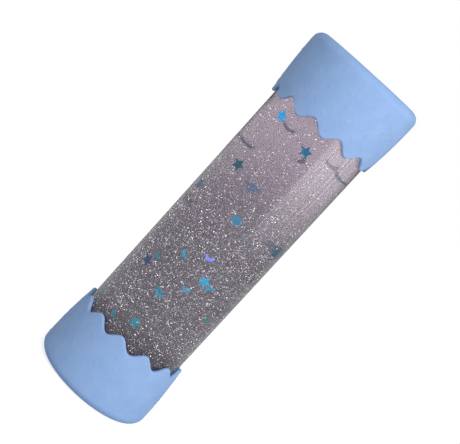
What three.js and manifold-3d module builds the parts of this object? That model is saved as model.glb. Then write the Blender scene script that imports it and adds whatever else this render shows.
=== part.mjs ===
// Liquid-filled rainstick: a clear tube closed by two plugs, filled with liquid, stars and moons,
// with a soft scalloped cap pulled over each end. Millimetres, +Z up along the tube, standing on
// the lower cap with the origin at the centre of its flat end.
import * as THREE from "three";
import { mergeVertices } from "three/addons/utils/BufferGeometryUtils.js";
import Module from "manifold-3d";

const wasm = await Module();
wasm.setup();

// ---- Driving dimensions ----
const LENGTH = 182.5; // end to end over both caps
const CLEARANCE = 0.3; // left between pieces that rest on each other

// Soft end caps: one shape, used at both ends
const CAP_FLOOR = 4; // thickness of the flat end
const CAP_RADIUS = 28.5; // widest, near the flat end
const CAP_RIM_RADIUS = 26.85; // outside of the thin scalloped rim
const CAP_CORNER = 4.5; // round corner at the flat end
const CAP_HEIGHT = 30.75; // mean height of the rim above the flat end
const WAVE_HEIGHT = 2.05; // the rim waves this far above and below its mean
const WAVE_COUNT = 12;
const LOWER_WAVE_TURN = -5.5; // degrees that each cap is turned on the tube
const UPPER_WAVE_TURN = 5;
const RIM_EDGE = 0.5; // chamfer outside the rim
const FLOOR_EDGE = 0.7; // chamfer inside, where the wall meets the floor

// Clear tube, 50 mm outside and 46 mm inside
const TUBE_RADIUS = 25;
const TUBE_BORE = 23;
const TUBE_EDGE = 0.4;

// Plug bonded into each end of the tube, measured inwards from its outer face
const FLANGE_THICKNESS = 2.3;
const PLUG_RADIUS = 22.7;
const PLUG_DEPTH = 12;
const RECESS_RADIUS = 18.5;
const RECESS_DEPTH = 9.6;
const GROOVE_RADIUS = 20.5;
const GROOVE_START = 5.4;
const GROOVE_WIDTH = 2.6;
const RING_SECTION = 0.95; // section radius of the sealing ring
const RING_RADIUS = 21.75; // centre line of the sealing ring
const PLUG_EDGE = 0.8; // chamfers on the plug's corners

// Threaded filling port in the upper plug, and its screw
const PORT_RADIUS = 4.25;
const BOSS_RADIUS = 7.5;
const BOSS_END = 15.5;
const THREAD_PITCH = 1.5;
const THREAD_START = 10.6;
const THREAD_BASE = 0.9; // width of the ridge at its root
const THREAD_CREST = 0.35; // width of the ridge at its tip
const PORT_CREST_RADIUS = 3.7;
const PORT_TURNS = 2.5;
const SCREW_TURNS = 2.6;
const RIDGE_ROOT = 0.15; // how far a ridge is sunk into what carries it
const SHANK_RADIUS = 3.45;
const SCREW_CREST_RADIUS = 4;
const SHANK_END = 15;
const HEAD_RADIUS = 6;
const HEAD_HEIGHT = 2.6;
const SCREW_EDGE = 0.6; // chamfers on the screw and the boss
const SLOT_WIDTH = 1.6;
const SLOT_DEPTH = 1.3;
const WASHER_THICKNESS = 1.2;
const WASHER_RADIUS = 5.8;
const WASHER_BORE = 4.2;

// Liquid and confetti
const LIQUID_RADIUS = 18; // inner core only: the confetti drifts in the ring outside it
const LIQUID_TOP = 157;
const FOIL_THICKNESS = 0.25;
const STAR_RADIUS = 3.1; // centre to tip
const STAR_WAIST = 1.4; // centre to inner corner
const STAR_LAYER = 21.6; // distance of a star from the tube's axis
const MOON_RADIUS = 2; // outer arc of the crescent
const MOON_INNER_RADIUS = 2.05; // arc that hollows the crescent
const MOON_INNER_CENTRE = 1.5;
const MOON_LAYER = 19.6;

// Flat facets round each turned piece
const WAVE_FACETS = 6; // per wave of the cap's rim
const TUBE_FACETS = 40;
const PLUG_FACETS = 36;
const CORE_FACETS = 32;
const RING_FACETS = 28;
const SCREW_FACETS = 24;
const THREAD_FACETS = 14; // per turn

// Where each piece of confetti floats: azimuth from -Y towards +X, height, turn in its own plane
// (clockwise from outside), nod and yaw, and for moons how far it sits inside its layer.
const STARS = [
  [-42, 145, -8, 10, 4],
  [5, 141, -4, 2, 0],
  [-42, 118, 8, -8, 10],
  [-70, 100, 20, 0, 0],
  [0, 101, 28, 4, 3],
  [66, 100, 0, 3, -4],
  [19, 72.5, 16, -3, -5],
  [-47, 62, -50, 6, 12],
  [77, 67, 30, 5, 8],
  [-7, 40, 10, 0, -6],
  [152, 98, 40, -4, 4],
  [186, 111, 15, 5, 0],
  [112, 130, -20, -6, 8],
  [150, 62, 35, 8, -5],
  [212, 88, 5, -10, 6],
  [238, 50, 50, 0, 10],
  [262, 132, 25, 6, -8],
  [104, 38, -35, 4, 4],
];
const MOONS = [
  [6, 82, -5, 18, 5],
  [-17, 76, 45, 0, 10],
  [33, 70.5, 140, 5, 0],
  [-42, 67, 25, -10, 5],
  [10, 65.5, -16, 8, 0],
  [63, 60, 23, 0, -10],
  [-10, 58, 19, 0, 0, -0.3],
  [-10, 56.3, 8, 0, 0, 0.4],
  [-33, 36, 54, 0, 0],
  [197, 141, 0, 6, 0],
  [144, 140, -12, 0, 8],
  [156, 141.5, 15, 4, 0],
  [212, 124.5, 5, 0, -8],
  [177, 134, 80, 10, 0],
  [120, 104, 60, -12, 4],
  [165, 92, 200, 8, 8],
  [228, 72, -30, 0, 12],
  [96, 52, 100, 14, 0],
  [250, 96, 10, -6, 6],
  [190, 46, 150, 10, -6],
  [135, 30, -60, 0, 5],
  [283, 38, 35, 12, 0],
];

// ---- Materials ----
const finish = (color, roughness, metalness, opacity = 1) =>
  new THREE.MeshStandardMaterial({
    color,
    roughness,
    metalness,
    opacity,
    transparent: opacity < 1,
  });
const silicone = finish("#9cc0f0", 0.6, 0);
const clearPlastic = finish("#e8e4e8", 0.06, 0, 0.3);
const plugPlastic = finish("#e3e6ea", 0.35, 0);
const sealRubber = finish("#2b2d31", 0.7, 0);
const screwPlastic = finish("#c9d3df", 0.4, 0);
const liquid = finish("#8f8592", 0.1, 0, 0.6);
const starFoil = finish("#1d7fa3", 0.25, 0.7);
const moonFoil = finish("#1597c9", 0.25, 0.7);

// ---- Geometry helpers ----
const TURN = 2 * Math.PI;
const radians = THREE.MathUtils.degToRad;
const model = new THREE.Group();

function addMesh(parent, name, geometry, material) {
  const mesh = new THREE.Mesh(geometry, material);
  mesh.name = name;
  parent.add(mesh);
  return mesh;
}

// A turned solid about +Z from [radius, height] points, listed anticlockwise.
function turned(profile, segments) {
  const points = profile.map(([r, z]) => new THREE.Vector2(r, z));
  return new THREE.LatheGeometry(points, segments).rotateX(Math.PI / 2);
}

// The same, for a profile that closes on itself away from the axis.
const turnedRing = (profile, segments) => turned([...profile, profile[0]], segments);

function toSolid(geometry) {
  const bare = geometry.clone();
  bare.deleteAttribute("normal");
  bare.deleteAttribute("uv");
  const merged = mergeVertices(bare, 1e-4);
  return new wasm.Manifold(
    new wasm.Mesh({
      numProp: 3,
      vertProperties: new Float32Array(merged.attributes.position.array),
      triVerts: new Uint32Array(merged.index.array),
    }),
  );
}

function toGeometry(solid) {
  const { vertProperties, triVerts } = solid.getMesh();
  const geometry = new THREE.BufferGeometry();
  geometry.setAttribute("position", new THREE.BufferAttribute(vertProperties, 3));
  geometry.setIndex(new THREE.BufferAttribute(triVerts, 1));
  geometry.computeVertexNormals();
  return geometry;
}

// A right-handed thread ridge about +Z: a trapezoid drawn as (along the axis, radius) and swept
// along the angle, then wrapped round the axis.
function threadRidge(rootRadius, crestRadius, start, turns) {
  const shape = new THREE.Shape([
    new THREE.Vector2(-THREAD_BASE / 2, rootRadius),
    new THREE.Vector2(THREAD_BASE / 2, rootRadius),
    new THREE.Vector2(THREAD_CREST / 2, crestRadius),
    new THREE.Vector2(-THREAD_CREST / 2, crestRadius),
  ]);
  const ridge = new THREE.ExtrudeGeometry(shape, {
    depth: turns * TURN,
    steps: Math.round(turns * THREAD_FACETS),
    bevelEnabled: false,
  });
  const place = ridge.attributes.position;
  for (let i = 0; i < place.count; i++) {
    const along = place.getX(i);
    const radius = place.getY(i);
    const angle = place.getZ(i);
    const height = start + along + (THREAD_PITCH * angle) / TURN;
    place.setXYZ(i, radius * Math.cos(angle), radius * Math.sin(angle), height);
  }
  return ridge;
}

// ---- Soft end cap, standing on its flat end ----
function capGeometry() {
  const bore = TUBE_RADIUS + CLEARANCE;
  const cornerCentre = CAP_RADIUS - CAP_CORNER;
  const profile = [[0, 0, 0]]; // radius, height, share of the rim's wave
  const cornerSteps = 3;
  for (let i = 0; i <= cornerSteps; i++) {
    const angle = (i / cornerSteps) * (Math.PI / 2);
    const radius = cornerCentre + CAP_CORNER * Math.sin(angle);
    profile.push([radius, CAP_CORNER * (1 - Math.cos(angle)), 0]);
  }
  // The side leans in towards the rim, slowly at first.
  for (const rise of [0.45, 0.8]) {
    const radius = CAP_RADIUS - (CAP_RADIUS - CAP_RIM_RADIUS) * rise ** 2;
    profile.push([radius, CAP_CORNER + (CAP_HEIGHT - CAP_CORNER) * rise, rise ** 4]);
  }
  profile.push([CAP_RIM_RADIUS, CAP_HEIGHT - RIM_EDGE, 1]);
  profile.push([CAP_RIM_RADIUS - RIM_EDGE, CAP_HEIGHT, 1]);
  profile.push([bore, CAP_HEIGHT, 1]);
  profile.push([bore, CAP_FLOOR + FLOOR_EDGE, 0]);
  profile.push([bore - FLOOR_EDGE, CAP_FLOOR, 0]);
  profile.push([0, CAP_FLOOR, 0]);

  const geometry = turned(profile, WAVE_COUNT * WAVE_FACETS);
  const place = geometry.attributes.position;
  for (let i = 0; i < place.count; i++) {
    const share = profile[i % profile.length][2];
    const angle = Math.atan2(place.getY(i), place.getX(i));
    const wave = WAVE_HEIGHT * Math.cos(WAVE_COUNT * angle);
    place.setZ(i, place.getZ(i) + share * wave);
  }
  geometry.computeVertexNormals();
  return geometry;
}

function addCaps() {
  const cap = capGeometry();
  const lower = addMesh(model, "lower_end_cap", cap, silicone);
  lower.rotation.z = radians(LOWER_WAVE_TURN);
  const upperEnd = new THREE.Group();
  upperEnd.position.z = LENGTH;
  upperEnd.rotation.z = radians(UPPER_WAVE_TURN);
  model.add(upperEnd);
  addMesh(upperEnd, "upper_end_cap", cap, silicone).rotation.x = Math.PI;
}

// ---- Clear tube, between the flanges of the two plugs ----
const PLUG_FACE = CAP_FLOOR + CLEARANCE; // outer face of each plug, from the cap's flat end
const TUBE_END = PLUG_FACE + FLANGE_THICKNESS + CLEARANCE;

function addTube() {
  const top = LENGTH - TUBE_END;
  const profile = [
    [TUBE_BORE, TUBE_END],
    [TUBE_RADIUS - TUBE_EDGE, TUBE_END],
    [TUBE_RADIUS, TUBE_END + TUBE_EDGE],
    [TUBE_RADIUS, top - TUBE_EDGE],
    [TUBE_RADIUS - TUBE_EDGE, top],
    [TUBE_BORE, top],
  ];
  addMesh(model, "clear_tube", turnedRing(profile, TUBE_FACETS), clearPlastic);
}

// ---- Plugs and sealing rings, measured inwards from the plug's outer face ----
function plugRim() {
  return [
    [RECESS_RADIUS - PLUG_EDGE, RECESS_DEPTH],
    [RECESS_RADIUS, RECESS_DEPTH - PLUG_EDGE],
    [RECESS_RADIUS, 0],
    [TUBE_RADIUS - PLUG_EDGE, 0],
    [TUBE_RADIUS, PLUG_EDGE],
    [TUBE_RADIUS, FLANGE_THICKNESS],
    [PLUG_RADIUS, FLANGE_THICKNESS],
    [PLUG_RADIUS, GROOVE_START],
    [GROOVE_RADIUS, GROOVE_START],
    [GROOVE_RADIUS, GROOVE_START + GROOVE_WIDTH],
    [PLUG_RADIUS, GROOVE_START + GROOVE_WIDTH],
    [PLUG_RADIUS, PLUG_DEPTH - PLUG_EDGE],
    [PLUG_RADIUS - PLUG_EDGE, PLUG_DEPTH],
  ];
}

function blindPlug() {
  return turned([[0, RECESS_DEPTH], ...plugRim(), [0, PLUG_DEPTH]], PLUG_FACETS);
}

function portedPlug() {
  const boss = [
    [BOSS_RADIUS, PLUG_DEPTH],
    [BOSS_RADIUS, BOSS_END - SCREW_EDGE],
    [BOSS_RADIUS - SCREW_EDGE, BOSS_END],
    [PORT_RADIUS, BOSS_END],
  ];
  const profile = [[PORT_RADIUS, RECESS_DEPTH], ...plugRim(), ...boss];
  const body = turnedRing(profile, PLUG_FACETS);
  const root = PORT_RADIUS + RIDGE_ROOT;
  const ridge = threadRidge(root, PORT_CREST_RADIUS, THREAD_START, PORT_TURNS);
  return toGeometry(toSolid(body).add(toSolid(ridge)));
}

function sealingRing() {
  const ring = new THREE.TorusGeometry(RING_RADIUS, RING_SECTION, 6, RING_FACETS);
  return ring.translate(0, 0, GROOVE_START + GROOVE_WIDTH / 2);
}

function addPlugs() {
  const lowerEnd = new THREE.Group();
  lowerEnd.position.z = PLUG_FACE;
  model.add(lowerEnd);
  addMesh(lowerEnd, "lower_plug", blindPlug(), plugPlastic);
  addMesh(lowerEnd, "lower_seal_ring", sealingRing(), sealRubber);

  const upperEnd = new THREE.Group();
  upperEnd.position.z = LENGTH - PLUG_FACE;
  upperEnd.rotation.x = Math.PI;
  model.add(upperEnd);
  addMesh(upperEnd, "upper_plug", portedPlug(), plugPlastic);
  addMesh(upperEnd, "upper_seal_ring", sealingRing(), sealRubber);
  addMesh(upperEnd, "filler_washer", fillerWasher(), sealRubber);
  addMesh(upperEnd, "filler_screw", fillerScrew(), screwPlastic);
}

// ---- Filling screw and its washer, in the upper plug's recess ----
const WASHER_END = RECESS_DEPTH - CLEARANCE;
const HEAD_END = WASHER_END - WASHER_THICKNESS - CLEARANCE;

function fillerWasher() {
  const start = WASHER_END - WASHER_THICKNESS;
  const profile = [
    [WASHER_BORE, start],
    [WASHER_RADIUS, start],
    [WASHER_RADIUS, WASHER_END],
    [WASHER_BORE, WASHER_END],
  ];
  return turnedRing(profile, SCREW_FACETS);
}

function fillerScrew() {
  const headStart = HEAD_END - HEAD_HEIGHT;
  const body = turned(
    [
      [0, headStart],
      [HEAD_RADIUS - SCREW_EDGE, headStart],
      [HEAD_RADIUS, headStart + SCREW_EDGE],
      [HEAD_RADIUS, HEAD_END],
      [SHANK_RADIUS, HEAD_END],
      [SHANK_RADIUS, SHANK_END - SCREW_EDGE],
      [SHANK_RADIUS - SCREW_EDGE, SHANK_END],
      [0, SHANK_END],
    ],
    SCREW_FACETS,
  );
  // Half a pitch from the port's ridge, so that each runs between the other's turns.
  const start = THREAD_START - THREAD_PITCH / 2;
  const root = SHANK_RADIUS - RIDGE_ROOT;
  const ridge = threadRidge(root, SCREW_CREST_RADIUS, start, SCREW_TURNS);
  const slot = new THREE.BoxGeometry(3 * HEAD_RADIUS, SLOT_WIDTH, 2 * SLOT_DEPTH);
  slot.translate(0, 0, headStart);
  return toGeometry(toSolid(body).add(toSolid(ridge)).subtract(toSolid(slot)));
}

// ---- Liquid core ----
function addLiquid() {
  const bottom = PLUG_FACE + PLUG_DEPTH + CLEARANCE;
  const profile = [
    [0, bottom],
    [LIQUID_RADIUS, bottom],
    [LIQUID_RADIUS, LIQUID_TOP],
    [0, LIQUID_TOP],
  ];
  addMesh(model, "liquid_fill", turned(profile, CORE_FACETS), liquid);
}

// ---- Confetti, drawn in the XY plane and facing +Z ----
function foil(shape, curveSegments) {
  const settings = { depth: FOIL_THICKNESS, bevelEnabled: false, curveSegments };
  return new THREE.ExtrudeGeometry(shape, settings).translate(0, 0, -FOIL_THICKNESS / 2);
}

function starGeometry() {
  const corners = [];
  for (let i = 0; i < 10; i++) {
    const radius = i % 2 ? STAR_WAIST : STAR_RADIUS;
    const angle = Math.PI / 2 + (i * TURN) / 10;
    corners.push(new THREE.Vector2(radius * Math.cos(angle), radius * Math.sin(angle)));
  }
  return foil(new THREE.Shape(corners), 1);
}

// A crescent with its horns towards +Y, between two arcs that meet at the horns.
function moonGeometry() {
  const squares = MOON_RADIUS ** 2 - MOON_INNER_RADIUS ** 2 + MOON_INNER_CENTRE ** 2;
  const hornY = squares / (2 * MOON_INNER_CENTRE);
  const hornX = Math.sqrt(MOON_RADIUS ** 2 - hornY ** 2);
  const outer = Math.atan2(hornY, hornX);
  const inner = Math.atan2(hornY - MOON_INNER_CENTRE, hornX);
  const shape = new THREE.Shape();
  shape.absarc(0, 0, MOON_RADIUS, Math.PI - outer, outer, false);
  shape.absarc(0, MOON_INNER_CENTRE, MOON_INNER_RADIUS, inner, Math.PI - inner, true);
  return foil(shape, 3);
}

function addConfetti(kind, geometry, material, layer, places) {
  places.forEach(([azimuth, height, spin, nod, yaw, inset = 0], i) => {
    const holder = new THREE.Group();
    holder.rotation.z = radians(azimuth);
    model.add(holder);
    const name = `${kind}_${String(i + 1).padStart(2, "0")}`;
    const mesh = addMesh(holder, name, geometry, material);
    mesh.position.set(0, inset - layer, height);
    mesh.rotation.set(Math.PI / 2 + radians(nod), radians(yaw), -radians(spin));
  });
}

addCaps();
addTube();
addPlugs();
addLiquid();
addConfetti("star", starGeometry(), starFoil, STAR_LAYER, STARS);
addConfetti("moon", moonGeometry(), moonFoil, MOON_LAYER, MOONS);

export default model;
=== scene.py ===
"""Looks of a liquid-filled glitter rainstick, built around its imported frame.

Metres throughout, in the frame's axes: +Z runs up the tube, which stands on its lower cap.
"""

import math

import bmesh
import bpy
import numpy as np
from mathutils import Matrix, Vector


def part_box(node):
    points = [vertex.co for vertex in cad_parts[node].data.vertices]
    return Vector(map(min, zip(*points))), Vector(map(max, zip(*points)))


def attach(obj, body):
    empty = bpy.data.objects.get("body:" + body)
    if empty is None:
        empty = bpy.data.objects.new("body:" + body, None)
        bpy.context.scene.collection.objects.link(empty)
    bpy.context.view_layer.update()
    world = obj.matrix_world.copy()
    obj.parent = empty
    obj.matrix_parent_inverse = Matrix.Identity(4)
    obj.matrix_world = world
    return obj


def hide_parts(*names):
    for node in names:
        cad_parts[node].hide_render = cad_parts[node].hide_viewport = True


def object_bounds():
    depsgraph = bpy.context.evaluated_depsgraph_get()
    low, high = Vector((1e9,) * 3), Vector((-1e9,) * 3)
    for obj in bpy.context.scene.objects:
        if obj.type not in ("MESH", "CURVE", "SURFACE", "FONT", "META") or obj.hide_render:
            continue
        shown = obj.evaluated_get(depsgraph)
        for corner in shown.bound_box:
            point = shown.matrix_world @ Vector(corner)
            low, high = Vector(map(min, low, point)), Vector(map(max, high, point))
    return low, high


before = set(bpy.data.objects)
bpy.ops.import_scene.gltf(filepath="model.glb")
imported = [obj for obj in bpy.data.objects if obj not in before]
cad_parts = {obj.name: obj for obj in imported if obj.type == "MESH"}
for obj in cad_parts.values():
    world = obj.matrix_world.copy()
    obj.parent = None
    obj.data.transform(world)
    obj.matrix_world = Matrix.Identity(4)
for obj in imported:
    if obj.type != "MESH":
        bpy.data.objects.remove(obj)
cad_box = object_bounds()

MM = 0.001
TURN = 2 * math.pi

# ---- Sizes read from the frame ----
LENGTH = cad_box[1].z
CAP_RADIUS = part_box("lower_end_cap")[1].x
CAP_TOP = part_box("lower_end_cap")[1].z
TUBE_LOW, TUBE_HIGH = (corner.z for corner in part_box("clear_tube"))
TUBE_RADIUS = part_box("clear_tube")[1].x
PLUG_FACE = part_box("lower_plug")[0].z
PLUG_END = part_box("lower_plug")[1].z
LIQUID_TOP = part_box("liquid_fill")[1].z
WASHER_LOW, WASHER_HIGH = (corner.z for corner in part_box("filler_washer"))
SCREW_LOW, SCREW_HIGH = (corner.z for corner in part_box("filler_screw"))

# ---- Sizes that the frame's boxes don't give ----
WAVE_COUNT = 12
WAVE_HEIGHT = 2.05 * MM
WAVE_TURN = {"lower": -5.5, "upper": 5.0}  # degrees
CAP_RIM_RADIUS = 26.85 * MM
CAP_CORNER = 4.5 * MM
CAP_FLOOR = 4 * MM
CAP_RIM = CAP_TOP - WAVE_HEIGHT  # mean height of the rim
CAP_BORE = TUBE_RADIUS + 0.06 * MM
TUBE_BORE = 23 * MM
TUBE_EDGE = 0.4 * MM

# ---- How finely round pieces are cut ----
WALL_SEGMENTS = 192  # tube and liquid
ROUND_SEGMENTS = 128  # plugs, seals and murk
SMALL_SEGMENTS = 96  # screw and washer
ARC_STEPS = 4
ARC_REACH = 0.45  # most of an edge that a rounded corner takes up
SHARP_EDGE = 32  # degrees


# ---- Mesh helpers ----
def ring(radius, height, segments):
    """A level circle of points, anticlockwise from above; one point on the axis."""
    if radius == 0:
        return np.array([[0.0, 0.0, height]])
    angle = np.arange(segments) * TURN / segments
    level = np.full(segments, height)
    return np.column_stack([radius * np.cos(angle), radius * np.sin(angle), level])


def skin(name, rings, closed=False, sharp=SHARP_EDGE):
    """Joins rings of points, listed anticlockwise round the section, into one mesh object."""
    starts = np.cumsum([0] + [len(r) for r in rings])
    faces = []
    pairs = list(zip(range(len(rings) - 1), range(1, len(rings))))
    if closed:
        pairs.append((len(rings) - 1, 0))
    for low, high in pairs:
        a, b = starts[low], starts[high]
        count = max(len(rings[low]), len(rings[high]))
        j = np.arange(count)
        k = (j + 1) % count
        if len(rings[low]) == 1:
            faces += np.column_stack([np.full(count, a), b + k, b + j]).tolist()
        elif len(rings[high]) == 1:
            faces += np.column_stack([a + j, a + k, np.full(count, b)]).tolist()
        else:
            faces += np.column_stack([a + j, a + k, b + k, b + j]).tolist()
    return mesh_object(name, np.vstack(rings), faces, sharp)


def mesh_object(name, points, faces, sharp=SHARP_EDGE):
    """A smooth-shaded mesh object; sharp is the angle that creases, or None for no crease."""
    mesh = bpy.data.meshes.new(name)
    mesh.from_pydata(np.asarray(points).tolist(), [], faces)
    mesh.update()
    mesh.shade_smooth()
    if sharp:
        mesh.set_sharp_from_angle(angle=math.radians(sharp))
    piece = bpy.data.objects.new(name, mesh)
    bpy.context.scene.collection.objects.link(piece)
    return piece


def rounded(profile, radius, closed):
    """A section with each corner replaced by an arc, no larger than its edges allow."""
    last = len(profile) - 1
    result = []
    for i, corner in enumerate(profile):
        if not closed and i in (0, last):
            result.append(corner)
            continue
        corner = Vector(corner)
        before = Vector(profile[i - 1]) - corner
        after = Vector(profile[(i + 1) % len(profile)]) - corner
        half = before.angle(after) / 2
        reach = min(radius / math.tan(half), before.length * ARC_REACH, after.length * ARC_REACH)
        start = corner + before.normalized() * reach
        end = corner + after.normalized() * reach
        for step in range(ARC_STEPS + 1):
            t = step / ARC_STEPS
            bend = start * (1 - t) ** 2 + corner * 2 * t * (1 - t) + end * t**2
            result.append(tuple(bend))
    return result


def turned(name, profile, segments=ROUND_SEGMENTS, edge=0.25 * MM, closed=False):
    """A turned piece from (radius, height) corners listed anticlockwise, with rounded edges."""
    outline = rounded(profile, edge, closed)
    return skin(name, [ring(r, z, segments) for r, z in outline], closed)


def join(pieces, name):
    """Several mesh objects as one piece."""
    made = bmesh.new()
    for piece in pieces:
        made.from_mesh(piece.data)
    mesh = bpy.data.meshes.new(name)
    made.to_mesh(mesh)
    made.free()
    mesh.shade_smooth()
    mesh.set_sharp_from_angle(angle=math.radians(SHARP_EDGE))
    for piece in pieces:
        bpy.data.objects.remove(piece)
    joined = bpy.data.objects.new(name, mesh)
    bpy.context.scene.collection.objects.link(joined)
    return joined


# ---- Material helpers ----
def principled(name, **settings):
    """A material whose constant values sit on the Principled shader's own sockets."""
    material = bpy.data.materials.new(name)
    material.use_nodes = True
    shader = material.node_tree.nodes["Principled BSDF"]
    for key, value in settings.items():
        shader.inputs[key.replace("_", " ")].default_value = value
    return material


def node(material, kind, links=(), **values):
    """Adds a node, sets its inputs by name, and links (input, output socket) pairs."""
    made = material.node_tree.nodes.new(kind)
    for key, value in values.items():
        made.inputs[key.replace("_", " ")].default_value = value
    for key, output in links:
        material.node_tree.links.new(output, made.inputs[key])
    return made


def calculate(tree, operation, first, second=None):
    """A maths node whose inputs are sockets or plain numbers."""
    made = tree.nodes.new("ShaderNodeMath")
    made.operation = operation
    for socket, value in zip(made.inputs, (first, second)):
        if isinstance(value, bpy.types.NodeSocket):
            tree.links.new(value, socket)
        elif value is not None:
            socket.default_value = value
    return made.outputs[0]


def remap(tree, value, start, end, low, high, smooth=False):
    """Maps the range from start to end onto low to high, and holds it past both ends."""
    made = tree.nodes.new("ShaderNodeMapRange")
    made.interpolation_type = "SMOOTHSTEP" if smooth else "LINEAR"
    for key, number in (("From Min", start), ("From Max", end), ("To Min", low), ("To Max", high)):
        made.inputs[key].default_value = number
    tree.links.new(value, made.inputs["Value"])
    return made.outputs["Result"]


def feed(material, output, key):
    """Links an output to an input of the Principled shader."""
    shader = material.node_tree.nodes["Principled BSDF"]
    material.node_tree.links.new(output, shader.inputs[key])


def place_on(material, stretch=(1, 1, 1)):
    """The piece's own coordinates, in metres, scaled along each axis."""
    where = node(material, "ShaderNodeTexCoord").outputs["Object"]
    if stretch == (1, 1, 1):
        return where
    return node(material, "ShaderNodeMapping", [("Vector", where)], Scale=stretch).outputs[0]


def grain(material, scale, detail=3, stretch=(1, 1, 1)):
    """Noise with features about 1/scale metres across, from 0 to 1."""
    return node(
        material,
        "ShaderNodeTexNoise",
        [("Vector", place_on(material, stretch))],
        Scale=scale,
        Detail=detail,
    ).outputs["Fac"]


def ramp(material, fac, stops):
    """Colours (linear RGB) at positions from 0 to 1."""
    made = node(material, "ShaderNodeValToRGB", [("Fac", fac)])
    ends = made.color_ramp.elements
    for i, (position, colour) in enumerate(stops):
        stop = ends[i] if i < 2 else ends.new(position)
        stop.position = position
        stop.color = (*colour, 1)
    return made.outputs["Color"]


def spread(material, fac, low, high):
    """Maps noise, which lies mostly from 0.3 to 0.7, onto low to high."""
    return remap(material.node_tree, fac, 0.3, 0.7, low, high)


def bump(material, height, distance, strength, under=None):
    """A bumped normal, on top of the one called under where there is one."""
    links = [("Height", height)]
    if under is not None:
        links.append(("Normal", under))
    made = node(material, "ShaderNodeBump", links, Distance=distance, Strength=strength)
    return made.outputs["Normal"]


# ---- Materials ----
def silicone():
    """Matt moulded silicone in pale blue, with a fine eggshell grain and faint mottling."""
    m = principled("cap_silicone", Specular_IOR_Level=0.35)
    mottle = grain(m, 160, detail=5)
    feed(m, ramp(m, mottle, [(0.3, (0.295, 0.478, 0.83)), (0.7, (0.335, 0.52, 0.87))]), "Base Color")
    feed(m, spread(m, grain(m, 900), 0.5, 0.66), "Roughness")
    soft = bump(m, grain(m, 700, detail=4), 0.06 * MM, 0.5)
    feed(m, bump(m, grain(m, 3200, detail=2), 0.02 * MM, 0.5, soft), "Normal")
    return m


def clear_plastic():
    """Extruded acrylic: fine lines along the tube and a few faint scuffs in its gloss."""
    m = principled(
        "clear_plastic",
        Base_Color=(0.985, 0.98, 0.985, 1),
        Transmission_Weight=1.0,
        IOR=1.49,
        Coat_Weight=0.7,
        Coat_Roughness=0.28,
    )
    lines = grain(m, 1, stretch=(900, 900, 5))
    feed(m, spread(m, grain(m, 60, detail=4), 0.015, 0.04), "Roughness")
    feed(m, bump(m, lines, 0.015 * MM, 0.35), "Normal")
    return m


def plug_plastic():
    """Cloudy white moulded plastic with faint flow marks and a fine grain."""
    m = principled("plug_plastic", Specular_IOR_Level=0.45)
    flow = grain(m, 90, detail=5, stretch=(1, 1, 3))
    feed(m, ramp(m, flow, [(0.3, (0.72, 0.75, 0.79)), (0.7, (0.80, 0.82, 0.85))]), "Base Color")
    feed(m, spread(m, grain(m, 700), 0.3, 0.45), "Roughness")
    feed(m, bump(m, grain(m, 1500), 0.015 * MM, 0.5), "Normal")
    return m


def screw_plastic():
    """Pale blue-grey nylon with small changes of tone and gloss."""
    m = principled("screw_plastic", Specular_IOR_Level=0.45)
    tone = grain(m, 400, detail=5)
    feed(m, ramp(m, tone, [(0.35, (0.52, 0.60, 0.70)), (0.65, (0.60, 0.67, 0.76))]), "Base Color")
    feed(m, spread(m, grain(m, 1200), 0.32, 0.5), "Roughness")
    feed(m, bump(m, grain(m, 2500), 0.012 * MM, 0.5), "Normal")
    return m


def seal_rubber():
    """Near-black rubber with a dusty bloom."""
    m = principled("seal_rubber", Specular_IOR_Level=0.4)
    bloom = grain(m, 500, detail=6)
    feed(m, ramp(m, bloom, [(0.4, (0.018, 0.019, 0.021)), (0.75, (0.05, 0.052, 0.057))]), "Base Color")
    feed(m, spread(m, grain(m, 1500), 0.5, 0.8), "Roughness")
    feed(m, bump(m, grain(m, 2200, detail=5), 0.02 * MM, 0.6), "Normal")
    return m


def set_volume(material, shader_node):
    """Fills the piece with what a volume shader says."""
    output = material.node_tree.nodes["Material Output"]
    material.node_tree.links.new(shader_node.outputs[0], output.inputs["Volume"])


def absorption(material, density, colour):
    """Light lost along the way through a piece."""
    return node(material, "ShaderNodeVolumeAbsorption", Density=density, Color=(*colour, 1))


LIQUID_DENSITY = 50
LIQUID_TINT = (0.56, 0.46, 0.55)


def liquid():
    """Grey-mauve syrup, slightly cloudy where it meets the tube."""
    m = principled("liquid", Transmission_Weight=1.0, IOR=1.36)
    feed(m, spread(m, grain(m, 45), 0.07, 0.12), "Roughness")
    set_volume(m, absorption(m, LIQUID_DENSITY, LIQUID_TINT))
    return m


def murk_and_painted_light(name, density, tint, glow, glow_colour, levels=None):
    """Fine particles hanging in the liquid: they dim what is behind them, and an emission glow paints
    in the light they catch; the same dark absorption also serves as a painted shadow.

    Levels are the heights between which the volume thickens and its glow grows, from none to its full
    density and glow.
    """
    m = principled(name, Base_Color=(1, 1, 1, 1), Transmission_Weight=1.0, IOR=1.001, Roughness=0.0)
    dimmed = absorption(m, density, tint)
    # The emission here is painted light, a glow standing in for light scattered by the particles
    lit = node(m, "ShaderNodeEmission", Color=(*glow_colour, 1), Strength=glow)
    if levels:
        height = node(m, "ShaderNodeSeparateXYZ", [("Vector", place_on(m))]).outputs["Z"]
        for target, key, most in ((dimmed, "Density", density), (lit, "Strength", glow)):
            amount = remap(m.node_tree, height, levels[0], levels[1], 0, most, smooth=True)
            m.node_tree.links.new(amount, target.inputs[key])
    both = m.node_tree.nodes.new("ShaderNodeAddShader")
    m.node_tree.links.new(dimmed.outputs[0], both.inputs[0])
    m.node_tree.links.new(lit.outputs[0], both.inputs[1])
    set_volume(m, both)
    return m


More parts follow.
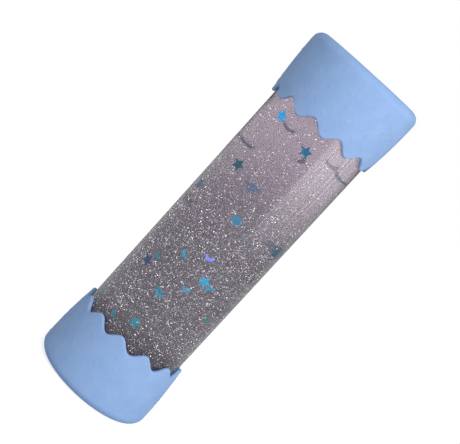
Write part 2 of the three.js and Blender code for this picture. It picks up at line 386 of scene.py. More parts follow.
def foil(name, colour, roughness, glow=0.5):
    """Cut metallic foil with a crinkled lacquer and small changes of tone, glowing in its own colour:
    painted light that brightens it beyond what the lamps give.
    """
    # The emission strength is painted light, a glow in the foil's own colour
    m = principled(name, Metallic=0.5, Specular_IOR_Level=0.25, Emission_Strength=glow)
    dark = tuple(c * 0.85 for c in colour)
    light = tuple(min(1, c * 1.15) for c in colour)
    tone = ramp(m, grain(m, 700, detail=4), [(0.35, dark), (0.65, light)])
    feed(m, tone, "Base Color")
    feed(m, tone, "Emission Color")
    feed(m, spread(m, grain(m, 1600), roughness * 0.7, roughness * 1.3), "Roughness")
    feed(m, bump(m, grain(m, 600, detail=2), 0.03 * MM, 0.4), "Normal")
    return m


def glitter(name, tone, painted_glint):
    """Metallic flakes of one brightness, with tints and finishes that change every millimetre, and a
    painted glint: an emission glow standing in for the light the flakes catch.
    """
    # The emission strength is a painted glint, glow in place of light caught by the flakes
    m = principled(name, Metallic=0.9, Emission_Strength=painted_glint)
    cells = node(m, "ShaderNodeTexVoronoi", [("Vector", place_on(m))], Scale=900)
    parts = node(m, "ShaderNodeSeparateColor", [("Color", cells.outputs["Color"])])
    cool = (tone * 0.88, tone * 0.96, tone)
    warm = (tone, tone * 0.92, tone * 0.97)
    tint = ramp(m, parts.outputs["Red"], [(0.3, cool), (0.5, (tone, tone, tone)), (0.8, warm)])
    feed(m, tint, "Base Color")
    feed(m, tint, "Emission Color")
    feed(m, spread(m, parts.outputs["Green"], 0.18, 0.32), "Roughness")
    return m


# ---- Camera ----
CAMERA_PLACE = Vector((-0.00167, -0.5102, 0.1714))
CAMERA_PITCH = math.radians(8.48)  # looking down
CAMERA_ROLL = math.radians(42.3)
CAMERA_LENS = 93.28  # mm, on the default 36 mm sensor


def add_camera():
    """The photograph's view: above the tube's middle, rolled so that the tube leans over."""
    ahead = Vector((0, math.cos(CAMERA_PITCH), -math.sin(CAMERA_PITCH)))
    level = Vector((1, 0, 0))
    up = level.cross(ahead)
    right = level * math.cos(CAMERA_ROLL) + up * math.sin(CAMERA_ROLL)
    top = up * math.cos(CAMERA_ROLL) - level * math.sin(CAMERA_ROLL)
    data = bpy.data.cameras.new("camera")
    data.lens = CAMERA_LENS
    camera = bpy.data.objects.new("camera", data)
    turn = Matrix((right, top, -ahead)).transposed().to_4x4()
    camera.matrix_world = Matrix.Translation(CAMERA_PLACE) @ turn
    bpy.context.scene.collection.objects.link(camera)
    bpy.context.scene.camera = camera


# ---- Stage and light ----
FLOOR_TONE = 0.6
FLOOR_GLOW = 0.72  # seen directly, so that the floor meets the white backdrop
DIM_SIDE, BRIGHT_SIDE = 0.30, 0.72  # the room's light from -X and from +X
GLOSSY_SHARE = 0.25  # of the room's light, in glossy reflections
FLOOR_HALF = 4.0
FLOOR_DROP = 0.05 * MM


def first_sight(tree):
    """1 while a path has only passed through clear pieces, 0 once it has been reflected."""
    path = tree.nodes.new("ShaderNodeLightPath")
    bounces = calculate(tree, "ADD", path.outputs["Diffuse Depth"], path.outputs["Glossy Depth"])
    return calculate(tree, "LESS_THAN", bounces, 0.5)


def add_floor():
    """A plain pale floor, just under the lower cap."""
    signs = ((-1, -1), (1, -1), (1, 1), (-1, 1))
    corners = [(x * FLOOR_HALF, y * FLOOR_HALF, -FLOOR_DROP) for x, y in signs]
    floor = mesh_object("floor", corners, [(0, 1, 2, 3)], sharp=None)
    m = principled("floor", Base_Color=(FLOOR_TONE, FLOOR_TONE, FLOOR_TONE, 1), Roughness=0.9)
    glow = calculate(m.node_tree, "MULTIPLY", first_sight(m.node_tree), FLOOR_GLOW)
    feed(m, glow, "Emission Strength")
    m.node_tree.nodes["Principled BSDF"].inputs["Emission Color"].default_value = (1, 1, 1, 1)
    floor.data.materials.append(m)


def room_light(tree):
    """The room's strength after a bounce: dimmer from one side, and in glossy reflections."""
    where = tree.nodes.new("ShaderNodeTexCoord")
    parts = tree.nodes.new("ShaderNodeSeparateXYZ")
    tree.links.new(where.outputs["Generated"], parts.inputs[0])
    side = remap(tree, parts.outputs["X"], -1, 1, DIM_SIDE, BRIGHT_SIDE)
    path = tree.nodes.new("ShaderNodeLightPath")
    seen = remap(tree, path.outputs["Is Glossy Ray"], 0, 1, 1, GLOSSY_SHARE)
    return calculate(tree, "MULTIPLY", side, seen)


def add_world():
    """A white backdrop at first sight, and the room's light after that."""
    world = bpy.data.worlds.new("studio")
    world.use_nodes = True
    bpy.context.scene.world = world
    tree = world.node_tree
    choose = tree.nodes.new("ShaderNodeMix")
    tree.links.new(first_sight(tree), choose.inputs["Factor"])
    tree.links.new(room_light(tree), choose.inputs["A"])
    choose.inputs["B"].default_value = 1
    tree.links.new(choose.outputs["Result"], tree.nodes["Background"].inputs["Strength"])
    tree.nodes["Background"].inputs["Color"].default_value = (1, 1, 1, 1)


def add_softbox(name, azimuth, distance, width, low, high, radiance):
    """An upright area light facing the tube; azimuth in degrees from -Y towards +X."""
    data = bpy.data.lights.new(name, "AREA")
    data.shape = "RECTANGLE"
    data.size = width
    data.size_y = high - low
    data.energy = radiance * math.pi * data.size * data.size_y
    light = bpy.data.objects.new(name, data)
    angle = math.radians(azimuth)
    away = Vector((math.sin(angle), -math.cos(angle), 0))
    light.location = away * distance + Vector((0, 0, (low + high) / 2))
    light.rotation_mode = "QUATERNION"
    light.rotation_quaternion = away.to_track_quat("Z", "Y")
    light.visible_camera = False
    light.visible_glossy = False
    bpy.context.scene.collection.objects.link(light)


CARD_HEIGHTS = (0.002, 0.40)
BAND_LEVELS = [(35.3, 0), (36.1, 0.75), (37.2, 0.6), (38.5, 0.45), (64, 0.5), (88, 0.35), (125, 0.1)]
STREAK_LEVELS = [(35.6, 0), (36.2, 1.0), (36.8, 1.0), (37.6, 0)]


CARD_STEPS = 48
RIB_SCALE = 0.16  # ribs in a degree, about one every 6 degrees


def card_strip(name, distance, first, last):
    """An upright curved strip about the tube, from one azimuth to another, in degrees."""
    points = []
    for height in CARD_HEIGHTS:
        for i in range(CARD_STEPS + 1):
            angle = math.radians(first + (last - first) * i / CARD_STEPS)
            across, ahead = math.sin(angle), -math.cos(angle)
            points.append((distance * across, distance * ahead, height))
    row = CARD_STEPS + 1
    faces = [(i, i + 1, row + i + 1, row + i) for i in range(CARD_STEPS)]
    return mesh_object(name, points, faces, sharp=None)


def card_material(name, levels, fade, radiance):
    """A glow with soft upright ribs, by azimuth and height."""
    m = principled(name, Base_Color=(0, 0, 0, 1), Specular_IOR_Level=0.0)
    tree = m.node_tree
    where = node(m, "ShaderNodeSeparateXYZ", [("Vector", place_on(m))])
    front = calculate(tree, "MULTIPLY", where.outputs["Y"], -1)
    turn = calculate(tree, "ARCTAN2", where.outputs["X"], front)
    degrees = calculate(tree, "DEGREES", turn)
    stops = [(azimuth / 180, (level, level, level)) for azimuth, level in levels]
    band = ramp(m, remap(tree, degrees, 0, 180, 0, 1), stops)
    ribs = node(m, "ShaderNodeTexNoise", Scale=RIB_SCALE, Detail=3.0)
    ribs.noise_dimensions = "1D"
    tree.links.new(degrees, ribs.inputs["W"])
    uneven = spread(m, ribs.outputs["Fac"], 0.2, 1.8)
    rise = remap(tree, where.outputs["Z"], 0, fade, 0, radiance)
    feed(m, band, "Emission Color")
    feed(m, calculate(tree, "MULTIPLY", uneven, rise), "Emission Strength")
    return m


def add_card(name, distance, levels, fade, radiance):
    """A curved card that shows only in glossy reflections, as a soft band down the tube.

    Its levels are shares of the radiance at azimuths in degrees from -Y towards +X, and it
    brightens from the floor to the height called fade.
    """
    card = card_strip(name, distance, levels[0][0], levels[-1][0])
    card.data.materials.append(card_material(name, levels, fade, radiance))
    card.visible_camera = False
    card.visible_diffuse = False
    card.visible_transmission = False
    card.visible_volume_scatter = False
    card.visible_shadow = False


def add_lights():
    """The room, the cards that make the tube's highlight, and two soft lights."""
    add_world()
    add_card("band_card", 0.45, BAND_LEVELS, 0.12, 4.4)
    add_card("streak_card", 0.44, STREAK_LEVELS, 0.015, 3.6)
    add_softbox("key", 24, 0.9, 0.9, 0.30, 1.20, 3.05)
    add_softbox("fill", 215, 1.2, 0.8, 0.05, 0.9, 0.6)


# ---- Soft end caps ----
CAP_SEGMENTS = 600
CAP_ROWS = 84
RIM_ROUND = (CAP_RIM_RADIUS - CAP_BORE) / 2
MARK_HEIGHT = 0.11 * MM
MARK_ROW_GAP = 4.8 * MM
MARKS_PER_ROW = 27
MARK_SKIP = 0.15  # share of the marks left out
BAR_HALF = (1.2 * MM, 0.42 * MM)
DOT_RADIUS = 0.6 * MM
MARK_JITTER = 0.4  # of the spacing, each way
DOT_LIMIT = 0.45  # marks drawn between the skipped share and this are dots, the rest bars
MARK_REACH = 2.5 * MM
MARK_CROWN, MARK_SLOPE = 1.35, 0.85  # flat top, then a fall to nothing
MARK_START = 1.5 * MM  # above the corner
MARK_EDGE, MARK_EDGE_GAP = 2.2 * MM, 0.6  # fade towards the rim, and the share of it left plain
PARTING_HEIGHT = 0.08 * MM
CAP_SEEDS = {"lower": 3, "upper": 4}
PARTING_BEND, PARTING_WIDTH = 1.25, 0.09  # radians round the corner
END_MARGIN = 0.6 * MM
FLOOR_CORNER = 1.2 * MM
CAP_ANGLES = np.arange(CAP_SEGMENTS) * TURN / CAP_SEGMENTS
RIM_LINE = CAP_RIM + WAVE_HEIGHT * np.cos(WAVE_COUNT * CAP_ANGLES)


def scattered_marks(seed, low, high):
    """Moulded sprinkles on the cap's side: (angle, height, turn of the bar or None for a dot)."""
    random = np.random.default_rng(seed)
    marks = []
    rows = int((high - low) / MARK_ROW_GAP) + 1
    for row in range(rows):
        for i in range(MARKS_PER_ROW):
            stagger = 0.5 * (row % 2)
            shift = random.uniform(-MARK_JITTER, MARK_JITTER)
            angle = (i + stagger + shift) * TURN / MARKS_PER_ROW
            height = low + MARK_ROW_GAP * (row + random.uniform(-MARK_JITTER, MARK_JITTER))
            turn = random.uniform(0, math.pi)
            kind = random.random()
            if kind > MARK_SKIP:
                marks.append((angle % TURN, height, None if kind < DOT_LIMIT else turn))
    return marks


def mark_relief(angles, heights, marks):
    """How far the marks lift a grid of surface points."""
    lift = np.zeros_like(heights)
    for angle, height, turn in marks:
        along = ((angles - angle + math.pi) % TURN - math.pi) * CAP_RADIUS
        up = heights - height
        near = (np.abs(along) < MARK_REACH) & (np.abs(up) < MARK_REACH)
        a, b = along[near], up[near]
        if turn is None:
            away = np.hypot(a, b) / DOT_RADIUS
        else:
            run = a * math.cos(turn) + b * math.sin(turn)
            across = b * math.cos(turn) - a * math.sin(turn)
            past = np.maximum(np.abs(run) - BAR_HALF[0] + BAR_HALF[1], 0)
            away = np.hypot(past, across) / BAR_HALF[1]
        lift[near] = np.maximum(lift[near], np.clip(MARK_CROWN - away * MARK_SLOPE, 0, 1))
    return lift * lift * (3 - 2 * lift)


def cap_circle(radius, height):
    """One ring of the cap; radius and height are single numbers or one for each point."""
    level = np.broadcast_to(height, CAP_ANGLES.shape)
    return np.column_stack([radius * np.cos(CAP_ANGLES), radius * np.sin(CAP_ANGLES), level])


def cap_end_rings():
    """The flat end and its rounded corner, with a faint ridge where the mould parts."""
    corner_centre = CAP_RADIUS - CAP_CORNER
    rings = [cap_circle(r, 0.0) for r in np.linspace(0.15, 1, 8) * (corner_centre - END_MARGIN)]
    for bend in np.linspace(0, math.pi / 2, 14):
        away = (bend - PARTING_BEND) / PARTING_WIDTH
        reach = CAP_CORNER + PARTING_HEIGHT * math.exp(-(away**2))
        radius = corner_centre + reach * math.sin(bend)
        rings.append(cap_circle(radius, CAP_CORNER - reach * math.cos(bend)))
    return rings


def cap_side_grid(seed):
    """Radius and height of each point up the marked side, row by row."""
    rise = (np.arange(1, CAP_ROWS + 1) / CAP_ROWS)[:, None]
    height = CAP_CORNER + rise * (RIM_LINE - RIM_ROUND - CAP_CORNER)[None, :]
    share = (height - CAP_CORNER) / (CAP_RIM - CAP_CORNER)
    radius = CAP_RADIUS - (CAP_RADIUS - CAP_RIM_RADIUS) * np.minimum(share, 1.0) ** 2
    marks = scattered_marks(seed, CAP_CORNER + MARK_START, CAP_RIM + WAVE_HEIGHT)
    edge = np.clip((RIM_LINE[None, :] - height) / MARK_EDGE - MARK_EDGE_GAP, 0, 1)
    fade = edge * np.clip((height - CAP_CORNER) / MM, 0, 1)
    spots = np.broadcast_to(CAP_ANGLES, height.shape)
    return radius + MARK_HEIGHT * fade * mark_relief(spots, height, marks), height


def cap_lip_rings(outer):
    """The rounded rim, from the side over to the bore."""
    half = (outer - CAP_BORE) / 2
    rings = []
    for bend in np.linspace(0, math.pi, 9)[1:]:
        lift = RIM_LINE - RIM_ROUND + RIM_ROUND * math.sin(bend)
        rings.append(cap_circle(CAP_BORE + half * (1 + math.cos(bend)), lift))
    return rings


def cap_bore_rings():
    """Down the bore and round its inner corner onto the floor."""
    base = CAP_FLOOR + FLOOR_CORNER
    rings = []
    for share in np.linspace(0, 1, 12)[1:]:
        rings.append(cap_circle(CAP_BORE, RIM_LINE - RIM_ROUND + share * (base - RIM_LINE + RIM_ROUND)))
    for bend in np.linspace(0, math.pi / 2, 5)[1:]:
        inward = FLOOR_CORNER * (1 - math.cos(bend))
        height = CAP_FLOOR + FLOOR_CORNER * (1 - math.sin(bend))
        rings.append(cap_circle(CAP_BORE - inward, height))
    rings.append(cap_circle(CAP_BORE * 0.5, CAP_FLOOR))
    return rings


def cap_rings(seed):
    """The cap as built standing on its flat end, ring by ring from the middle of that end."""
    radius, height = cap_side_grid(seed)
    side = [cap_circle(radius[i], height[i]) for i in range(CAP_ROWS)]
    end_middle = ring(0, 0.0, CAP_SEGMENTS)
    floor_middle = ring(0, CAP_FLOOR, CAP_SEGMENTS)
    inside = cap_lip_rings(radius[-1]) + cap_bore_rings()
    return [end_middle, *cap_end_rings(), *side, *inside, floor_middle]


def add_cap(end, material):
    """One cap; the upper is turned end over end."""
    cap = skin(f"{end}_cap_silicone", cap_rings(CAP_SEEDS[end]), sharp=None)
    turn = Matrix.Rotation(math.radians(WAVE_TURN[end]), 4, "Z")
    if end == "upper":
        flip = Matrix.Rotation(math.pi, 4, "X")
        turn = Matrix.Translation((0, 0, LENGTH)) @ turn @ flip
    cap.data.transform(turn)
    finish_piece(cap, f"{end}_cap", "cap_silicone", material, f"{end}_end_cap")


def finish_piece(piece, body, slot, material, *nodes):
    """Gives a piece its material and body, and hides the frame nodes it stands for; the slot it is
    handed is not used.

    Each face keeps its material index, which flakes use to tell their three tones and painted glints
    apart.
    """
    keep = np.empty(len(piece.data.polygons), np.int32)
    piece.data.polygons.foreach_get("material_index", keep)
    piece.data.materials.clear()
    piece.data.materials.append(material)
    piece.data.polygons.foreach_set("material_index", keep)
    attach(piece, body)
    if nodes:
        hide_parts(*nodes)


# ---- Tube, plugs and seals ----
GROOVE_START, GROOVE_END = 5.4 * MM, 8.0 * MM
RING_RADIUS, RING_SECTION = 21.75 * MM, 1.2 * MM
PLUG_DEPTH = PLUG_END - PLUG_FACE
RECESS_RADIUS, RECESS_DEPTH = 18.5 * MM, 9.6 * MM
FLANGE = 2.3 * MM
PLUG_RADIUS = TUBE_BORE - 0.08 * MM
GROOVE_RADIUS = 20.5 * MM
PORT_RADIUS, BOSS_RADIUS, BOSS_END = 4.25 * MM, 7.5 * MM, 15.5 * MM
THREAD_PITCH = 1.5 * MM
THREAD_START = 10.6 * MM
SHANK_RADIUS = 3.45 * MM
HEAD_RADIUS = 6 * MM
HEAD_HEIGHT = 2.6 * MM
SCREW_CREST, PORT_CREST = 4.0 * MM, 3.7 * MM
SCREW_TURNS, PORT_TURNS = 2.6, 2.5
THREAD_BASE, THREAD_TIP = 0.9 * MM, 0.3 * MM
THREAD_STEPS = 72  # in a turn
THREAD_SINK = 0.05 * MM  # how far a ridge's root sits inside its wall
SLOT_SIZE = (30 * MM, 1.6 * MM, 2.6 * MM)  # along, across, and up; the middle is at the head's face
WASHER_BORE, WASHER_RADIUS = 4.2 * MM, 5.8 * MM
RING_POINTS = 20


def add_tube(material):
    """The clear wall, open at both ends."""
    profile = [
        (TUBE_BORE, TUBE_LOW),
        (TUBE_RADIUS, TUBE_LOW),
        (TUBE_RADIUS, TUBE_HIGH),
        (TUBE_BORE, TUBE_HIGH),
    ]
    tube = turned("tube_wall", profile, WALL_SEGMENTS, TUBE_EDGE, closed=True)
    finish_piece(tube, "tube", "clear_plastic", material, "clear_tube")


def plug_rim():
    """A plug's section from its recess, round its flange and seal groove, to its inner end."""
    return [
        (RECESS_RADIUS, RECESS_DEPTH),
        (RECESS_RADIUS, 0),
        (TUBE_RADIUS, 0),
        (TUBE_RADIUS, FLANGE),
        (PLUG_RADIUS, FLANGE),
        (PLUG_RADIUS, GROOVE_START),
        (GROOVE_RADIUS, GROOVE_START),
        (GROOVE_RADIUS, GROOVE_END),
        (PLUG_RADIUS, GROOVE_END),
        (PLUG_RADIUS, PLUG_DEPTH),
    ]


def helix(name, root, crest, start, turns):
    """A right-handed thread ridge about +Z, tapering out at both ends."""
    steps = int(turns * THREAD_STEPS)
    base, tip = THREAD_BASE, THREAD_TIP
    rings = []
    for i in range(steps + 1):
        angle = i / THREAD_STEPS * TURN
        height = start + THREAD_PITCH * i / THREAD_STEPS
        fade = min(1, 4 * min(i, steps - i) / THREAD_STEPS)
        top = root + (crest - root) * fade
        section = [(root, -base / 2), (top, -tip / 2), (top, tip / 2), (root, base / 2)]
        turn = np.array([math.cos(angle), math.sin(angle)])
        rings.append(np.array([[*(turn * r), height + z] for r, z in section]))
    body = skin(name, rings)
    ends = bmesh.new()
    ends.from_mesh(body.data)
    bmesh.ops.holes_fill(ends, edges=[e for e in ends.edges if e.is_boundary], sides=4)
    bmesh.ops.recalc_face_normals(ends, faces=ends.faces)
    ends.to_mesh(body.data)
    ends.free()
    return body


def end_over_end():
    """From a plug's own frame, measured inwards from its outer face, to the upper end."""
    return Matrix.Translation((0, 0, LENGTH - PLUG_FACE)) @ Matrix.Rotation(math.pi, 4, "X")


def add_plugs(material):
    """A closed plug below, and above it one with a threaded filling port."""
    lower = turned("lower_plug_moulding", [(0, RECESS_DEPTH), *plug_rim(), (0, PLUG_DEPTH)])
    lower.data.transform(Matrix.Translation((0, 0, PLUG_FACE)))
    finish_piece(lower, "tube", "plug_plastic", material, "lower_plug")

    boss = [(BOSS_RADIUS, PLUG_DEPTH), (BOSS_RADIUS, BOSS_END), (PORT_RADIUS, BOSS_END)]
    body = turned("plug", [(PORT_RADIUS, RECESS_DEPTH), *plug_rim(), *boss], closed=True)
    ridge = helix("ridge", PORT_RADIUS + THREAD_SINK, PORT_CREST, THREAD_START, PORT_TURNS)
    upper = join([body, ridge], "upper_plug_moulding")
    upper.data.transform(end_over_end())
    finish_piece(upper, "tube", "plug_plastic", material, "upper_plug")


def add_seals(material):
    """A ring in each plug's groove, and the washer under the screw's head."""
    middle = (GROOVE_START + GROOVE_END) / 2
    section = [
        (RING_RADIUS + RING_SECTION * math.cos(a), middle + RING_SECTION * math.sin(a))
        for a in np.arange(RING_POINTS) * TURN / RING_POINTS
    ]
    for end in ("lower", "upper"):
        rings = [ring(r, z, ROUND_SEGMENTS) for r, z in section]
        seal = skin(f"{end}_seal_ring_rubber", rings, closed=True)
        lift = Matrix.Translation((0, 0, PLUG_FACE))
        seal.data.transform(lift if end == "lower" else end_over_end())
        finish_piece(seal, "tube", "seal_rubber", material, f"{end}_seal_ring")

    profile = [
        (WASHER_BORE, WASHER_LOW),
        (WASHER_RADIUS, WASHER_LOW),
        (WASHER_RADIUS, WASHER_HIGH),
        (WASHER_BORE, WASHER_HIGH),
    ]
    washer = turned("filler_washer_rubber", profile, SMALL_SEGMENTS, 0.3 * MM, closed=True)
    finish_piece(washer, "washer", "seal_rubber", material, "filler_washer")


def cut_slot(body, level):
    """Cuts a screwdriver's slot across the end of a screw's head."""
    box = bmesh.new()
    bmesh.ops.create_cube(box, size=1)
    slot_mesh = bpy.data.meshes.new("slot")
    box.to_mesh(slot_mesh)
    box.free()
    slot_mesh.transform(Matrix.Diagonal((*SLOT_SIZE, 1)))
    slot_mesh.transform(Matrix.Translation((0, 0, level)))
    slot = bpy.data.objects.new("slot", slot_mesh)
    bpy.context.scene.collection.objects.link(slot)
    cut = body.modifiers.new("slot", "BOOLEAN")
    cut.operation = "DIFFERENCE"
    cut.object = slot
    view = bpy.context.evaluated_depsgraph_get()
    body.data = bpy.data.meshes.new_from_object(body.evaluated_get(view))
    body.modifiers.clear()
    bpy.data.objects.remove(slot)


def add_screw(material):
    """The filler screw, in the upper plug's own frame until it is turned end over end."""
    face = LENGTH - PLUG_FACE
    head_low = face - SCREW_HIGH
    head_high = head_low + HEAD_HEIGHT
    shank_end = face - SCREW_LOW
    profile = [
        (0, head_low),
        (HEAD_RADIUS, head_low),
        (HEAD_RADIUS, head_high),
        (SHANK_RADIUS, head_high),
        (SHANK_RADIUS, shank_end),
        (0, shank_end),
    ]
    body = turned("body", profile, SMALL_SEGMENTS, 0.45 * MM)
    cut_slot(body, head_low)
    start = THREAD_START - THREAD_PITCH / 2
    ridge = helix("ridge", SHANK_RADIUS - THREAD_SINK, SCREW_CREST, start, SCREW_TURNS)
    screw = join([body, ridge], "filler_screw_nylon")
    screw.data.transform(end_over_end())
    finish_piece(screw, "screw", "screw_plastic", material, "filler_screw")


# ---- Liquid ----
LIQUID_RADIUS = TUBE_BORE + 0.02 * MM  # just inside the wall, so that no air shows between
LIQUID_SINK = 0.03 * MM  # into the lower plug, for the same reason
MENISCUS = 0.9 * MM
MENISCUS_INSETS = (0.0, 0.3, 0.8, 1.6, 2.8, 4.5)  # mm in from the wall
MURK_RADIUS = 19.9 * MM
SETTLED_LEVELS = (0.146, 0.064)  # none above the first height, full below the second
# Painted shadow of the lower cap's rim on the liquid: none above the first height, full below the
# second
RIM_SHADOW_LEVELS = (0.038, 0.026)
MURK_GAP = 0.2 * MM  # to the wall, the plug and the surface
MURK_STEP = 0.1 * MM  # between the ends of one body in the liquid and the next
MURK_NEST = 0.04 * MM  # between their sides


def add_liquid(material):
    """The full column of liquid, whose surface climbs a little where it meets the wall."""
    bottom = PLUG_END - LIQUID_SINK
    outline = [(0, bottom), (LIQUID_RADIUS, bottom)]
    for share in (0.25, 0.5, 0.75):
        outline.append((LIQUID_RADIUS, bottom + share * (LIQUID_TOP - bottom)))
    for inset in MENISCUS_INSETS:
        climb = MENISCUS * math.exp(-inset)
        outline.append((LIQUID_RADIUS - inset * MM, LIQUID_TOP + climb))
    outline.append((0, LIQUID_TOP))
    rings = [ring(radius, height, WALL_SEGMENTS) for radius, height in outline]
    body = skin("liquid_body", rings, sharp=50)
    finish_piece(body, "tube", "liquid", material, "liquid_fill")


def add_murk_and_painted_light():
    """Haze through the whole liquid, and thicker murk that has settled towards the bottom, each lit by
    an emission glow that is painted light; and a dark layer just above the lower plug, a painted shadow
    of the lower cap's rim.
    """
    settled = murk_and_painted_light("settled_murk", 72, (0.28, 0.28, 0.31), 0, (1, 1, 1), SETTLED_LEVELS)
    # Haze and glimmer glow by emission: painted light standing in for the light the particles scatter
    haze_glow = murk_and_painted_light("haze_glow", 1, (1, 1, 1), 5.5, (0.97, 0.91, 1.0))
    glimmer = murk_and_painted_light("glimmer", 1, (1, 1, 1), 2.6, (0.90, 0.88, 1.0), SETTLED_LEVELS)
    # A dark absorbing layer just above the lower plug, a painted shadow of the lower cap's rim
    painted_rim_shadow = murk_and_painted_light("painted_rim_shadow", 110, (0.32, 0.25, 0.40), 0, (1, 1, 1), RIM_SHADOW_LEVELS)
    bodies = [
        (settled, TUBE_BORE - MURK_GAP, SETTLED_LEVELS[0]),
        (haze_glow, MURK_RADIUS, LIQUID_TOP - MURK_GAP),
        (glimmer, MURK_RADIUS - MURK_NEST, SETTLED_LEVELS[0] - MURK_STEP),
        (painted_rim_shadow, MURK_RADIUS - 2 * MURK_NEST, RIM_SHADOW_LEVELS[0]),
    ]
    low = PLUG_END + MURK_GAP
    for material, radius, high in bodies:
        outline = [(0, low), (radius, low), (radius, high), (0, high)]
        body = turned(material.name, outline, edge=0.1 * MM)
        finish_piece(body, "tube", "liquid", material)
        low += MURK_STEP


# ---- Confetti and glitter ----
def confetti_nodes(kind):
    """Names of the frame's stars or moons, in order."""
    return sorted(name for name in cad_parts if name.startswith(kind + "_"))


STAR_FOILS = ("sky", "peacock", "sea", "sea", "azure", "sea")
STAR_FOILS += ("aqua", "deep", "sea", "teal", "azure", "sky")
MOON_FOILS = ("violet", "aqua", "aqua", "teal", "aqua", "teal", "teal", "aqua", "teal")
MOON_FOILS += ("slate",) * 5 + ("teal", "aqua", "sea", "teal") * 2


def paint_confetti():
    """The stars and moons keep their shape and take foils in a few blues and teals, most of them with a
    painted glow.
    """
    foils = {
        "teal": foil("foil_teal", (0.0, 0.25, 0.35), 0.3, glow=0.9),
        "sky": foil("foil_sky", (0.03, 0.42, 0.88), 0.3, glow=0.8),
        "sea": foil("foil_sea", (0.0, 0.15, 0.26), 0.35),
        "deep": foil("foil_deep", (0.004, 0.06, 0.24), 0.3),
        "aqua": foil("foil_aqua", (0.0, 0.33, 0.56), 0.3, glow=1.05),
        "azure": foil("foil_azure", (0.01, 0.26, 0.52), 0.3, glow=0.7),
        "peacock": foil("foil_peacock", (0.0, 0.17, 0.31), 0.3, glow=0.7),
        "slate": foil("foil_slate", (0.04, 0.13, 0.30), 0.35),
        "violet": foil("foil_violet", (0.17, 0.22, 1.0), 0.12, glow=1.6),
    }
    for i, name in enumerate(confetti_nodes("star")):
        paint(name, foils[STAR_FOILS[i % len(STAR_FOILS)]])
    for i, name in enumerate(confetti_nodes("moon")):
        paint(name, foils[MOON_FOILS[i % len(MOON_FOILS)]])


def paint(name, material):
    """Gives a solid of the frame a new material, and leaves its shape alone."""
    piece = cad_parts[name]
    piece.data.materials.clear()
    piece.data.materials.append(material)


# Share of the flakes kept, at heights up the tube
FLAKE_DENSITY = [(0.016, 0.4), (0.045, 1.0), (0.085, 1.0), (0.10, 0.6), (0.12, 0.2), (0.157, 0.05)]
FLAKE_RADII = (0.11 * MM, 0.22 * MM)
FLAKE_THICKNESS = 0.02 * MM
GLITTER_TONES_AND_GLINTS = [  # name, tone and painted glint
    ("glitter_dull", 0.45, 0.12),
    ("glitter_silver", 0.75, 0.65),
    ("glitter_bright", 0.95, 3.0),
]
FLAKE_SHARES = (0.32, 0.33, 0.35)  # of those kinds of flake
KEEP_OFF = {"star": 3.6 * MM, "moon": 3.3 * MM}  # from the middle of each
FLAKE_MARGIN = 0.5 * MM  # to the plug and the surface
GLITTER_SEED = 11
# Name, body, flakes, inner and outer radius and gaps below and above in mm, and what it keeps off
GLITTER_LAYERS = [
    ("glitter_core", "tube", 15000, (0.0, 17.8), (0, 0), ()),
    ("glitter_moon_layer", "moons", 3000, (18.5, 20.4), (10, 12), ("moon",)),
    ("glitter_star_layer", "stars", 1900, (21.0, 22.3), (16, 8), ("star", "moon")),
    ("glitter_wall_layer", "stars", 900, (22.45, 22.75), (16, 8), ()),
]


def scatter(random, count, inner, outer, low, high, keep_off):
    """Points in a hollow cylinder, denser near the bottom, and clear of some round places."""
    heights, shares = zip(*FLAKE_DENSITY)
    found = []
    while len(found) < count:
        radius = math.sqrt(random.uniform(inner**2, outer**2))
        angle = random.uniform(0, TURN)
        height = random.uniform(low, high)
        if random.random() > np.interp(height, heights, shares):
            continue
        point = np.array([radius * math.cos(angle), radius * math.sin(angle), height])
        if all(np.sum((point - place) ** 2) > reach**2 for place, reach in keep_off):
            found.append(point)
    return np.array(found)


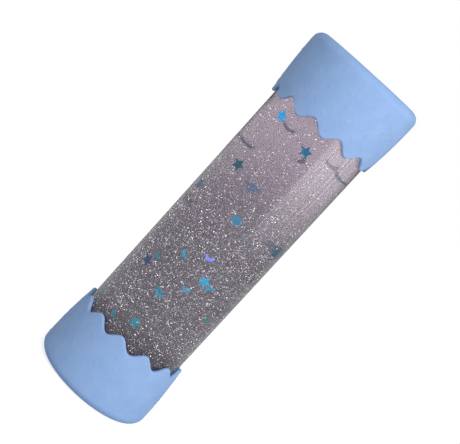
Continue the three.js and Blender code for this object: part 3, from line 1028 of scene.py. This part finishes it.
def flake_mesh(name, random, centres):
    """Thin six-sided flakes, each a flat double cone turned its own way."""
    count = len(centres)
    normal = random.normal(size=(count, 3))
    normal /= np.linalg.norm(normal, axis=1)[:, None]
    side = np.cross(normal, random.normal(size=(count, 3)))
    side /= np.linalg.norm(side, axis=1)[:, None]
    other = np.cross(normal, side)
    radius = random.uniform(*FLAKE_RADII, size=count)[:, None]
    points = np.empty((count, 8, 3))
    for i in range(6):
        angle = i * TURN / 6
        points[:, i] = centres + radius * (side * math.cos(angle) + other * math.sin(angle))
    points[:, 6] = centres + normal * FLAKE_THICKNESS / 2
    points[:, 7] = centres - normal * FLAKE_THICKNESS / 2
    pattern = [(i, (i + 1) % 6, 6) for i in range(6)] + [((i + 1) % 6, i, 7) for i in range(6)]
    faces = (np.arange(count) * 8)[:, None, None] + np.array(pattern)[None]
    flakes = mesh_object(name, points.reshape(-1, 3), faces.reshape(-1, 3).tolist(), sharp=None)
    flakes.data.shade_flat()
    kinds = random.choice(len(FLAKE_SHARES), size=count, p=FLAKE_SHARES)
    slots = np.repeat(kinds, len(pattern)).astype(np.int32)
    flakes.data.polygons.foreach_set("material_index", slots)
    return flakes


def centre_of(name):
    """The middle of a frame solid's box."""
    low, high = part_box(name)
    return np.array((low + high) / 2)


def add_glitter():
    """Flakes in four layers: the core stays with the tube, the others drift with the confetti."""
    materials = [glitter(*tone_and_glint) for tone_and_glint in GLITTER_TONES_AND_GLINTS]
    random = np.random.default_rng(GLITTER_SEED)
    low, high = PLUG_END + FLAKE_MARGIN, LIQUID_TOP - FLAKE_MARGIN
    for name, body, count, (inner, outer), (below, above), kinds in GLITTER_LAYERS:
        keep_off = [(centre_of(n), KEEP_OFF[kind]) for kind in kinds for n in confetti_nodes(kind)]
        bottom, top = low + below * MM, high - above * MM
        centres = scatter(random, count, inner * MM, outer * MM, bottom, top, keep_off)
        flakes = flake_mesh(name, random, centres)
        slot = "liquid" if body == "tube" else f"{body[:-1]}_foil"
        finish_piece(flakes, body, slot, materials[0])
        for material in materials[1:]:
            flakes.data.materials.append(material)


# ---- The scene ----
def set_up_render():
    """Enough bounces for light to cross the clear pieces, and the plain view transform."""
    scene = bpy.context.scene
    scene.view_settings.view_transform = "Standard"
    scene.cycles.max_bounces = 28
    scene.cycles.transmission_bounces = 24
    scene.cycles.use_denoising = True
    scene.cycles.denoising_prefilter = "FAST"


def main():
    set_up_render()
    add_camera()
    add_floor()
    add_lights()

    cap = silicone()
    add_cap("lower", cap)
    add_cap("upper", cap)
    add_tube(clear_plastic())
    add_plugs(plug_plastic())
    add_seals(seal_rubber())
    add_screw(screw_plastic())
    add_liquid(liquid())
    add_murk_and_painted_light()
    paint_confetti()
    add_glitter()


main()
